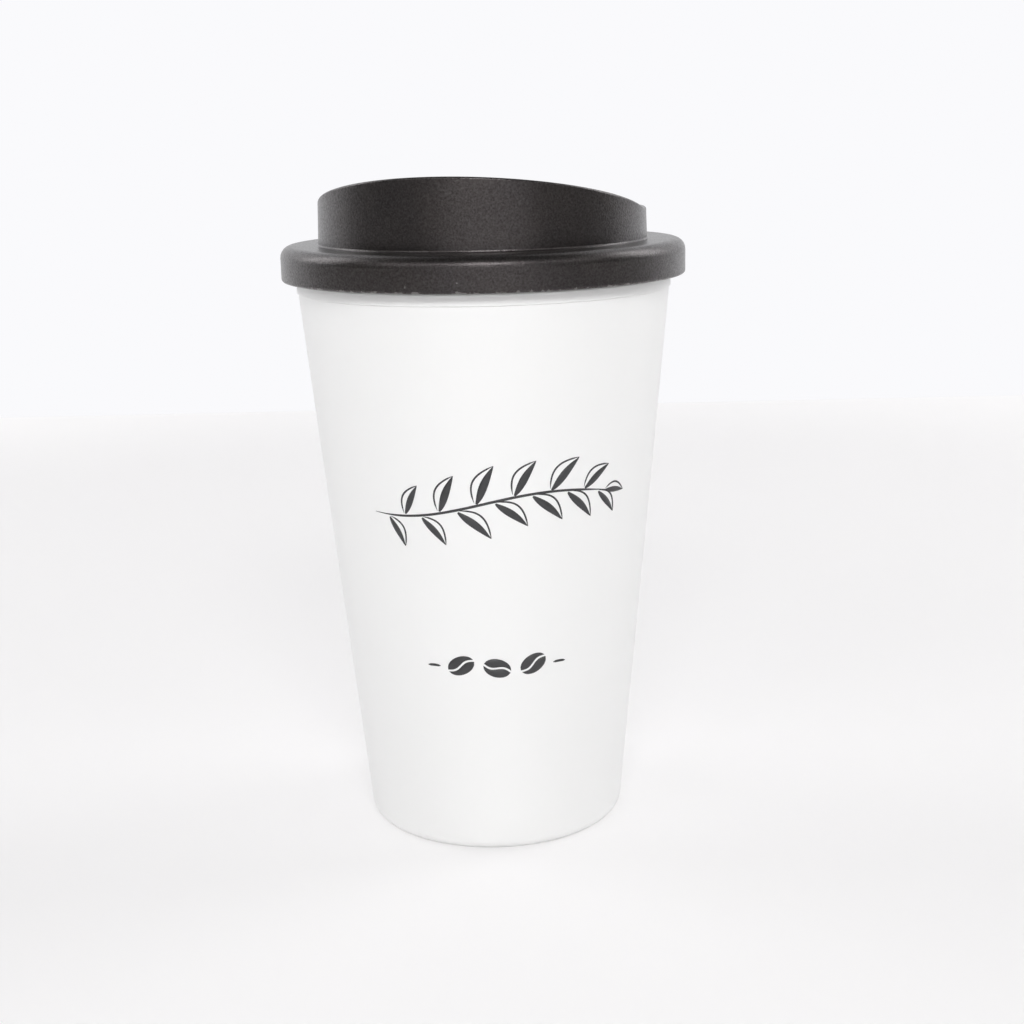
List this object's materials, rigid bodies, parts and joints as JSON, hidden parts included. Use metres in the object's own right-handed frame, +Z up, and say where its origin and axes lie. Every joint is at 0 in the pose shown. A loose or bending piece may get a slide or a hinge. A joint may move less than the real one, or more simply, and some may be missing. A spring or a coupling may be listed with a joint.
{
  "type": "reusable take-away cup",
  "caption": "Tapered double-walled plastic cup with a twist lid, whose raised collar has a slanted drinking rim round a deck with a sip slot.",
  "frame": {"origin": "middle of the base, on the surface that the cup stands on", "axes": "+Z up along the cup's axis, -Y towards the high drinking side of the lid, +X to the right of someone who faces that side"},
  "size_m": [0.0936, 0.0936, 0.1546],
  "materials": {
    "white_plastic": "satin moulded polypropylene",
    "black_plastic": "matt, finely grained moulded polypropylene",
    "silicone": "matt silicone rubber"
  },
  "bodies": {
    "cup": {"outer_shell": "white_plastic", "inner_liner": "white_plastic"},
    "seal": {"seal_ring": "silicone"},
    "lid": {"lid": "black_plastic"}
  },
  "joints": [
    {"name": "lid_rise", "type": "slide", "parent": "cup", "child": "seal", "axis": [0, 0, 1], "range_m": [0, 0.012]},
    {"name": "lid_twist", "type": "hinge", "parent": "seal", "child": "lid", "pos_m": [0, 0, 0.135], "axis": [0, 0, 1], "range_deg": [0, 360]}
  ],
  "couplings": [
    {"joint": "lid_rise", "follows": "lid_twist", "m_per_rad": 0.0019099}
  ]
}
